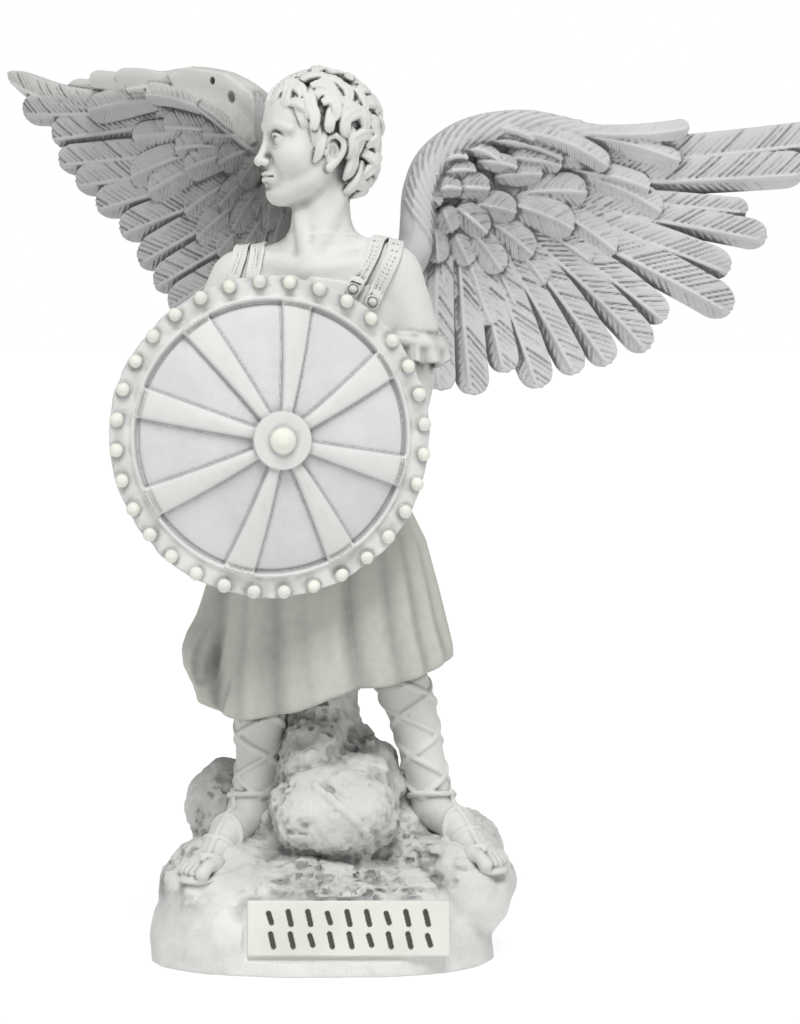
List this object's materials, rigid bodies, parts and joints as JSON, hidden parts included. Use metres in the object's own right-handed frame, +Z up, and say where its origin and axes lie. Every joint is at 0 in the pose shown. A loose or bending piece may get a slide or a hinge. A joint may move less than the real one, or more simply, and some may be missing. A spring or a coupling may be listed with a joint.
{
  "type": "winged archangel statuette",
  "caption": "Cast resin statuette of a winged archangel who stands on a rock, holds a round riveted shield and looks to one side, with a plate on the rock's front.",
  "frame": {"origin": "centre of the rock's flat underside", "axes": "+Z up through the figure, +X to the right of a viewer who faces the name plate, -Y towards that viewer"},
  "size_m": [0.2124, 0.1388, 0.2222],
  "materials": {
    "resin": "matte white mineral-filled cast resin with a thin grey wash in its hollows",
    "wing_resin": "matte white mineral-filled cast resin with a grey wash between the feathers",
    "plate_resin": "smooth cream cast resin with dark strokes"
  },
  "bodies": {
    "root": {"figure_on_rock": "resin", "shield": "resin", "name_plate": "plate_resin", "wing_left": "wing_resin", "wing_right": "wing_resin"}
  },
  "joints": []
}
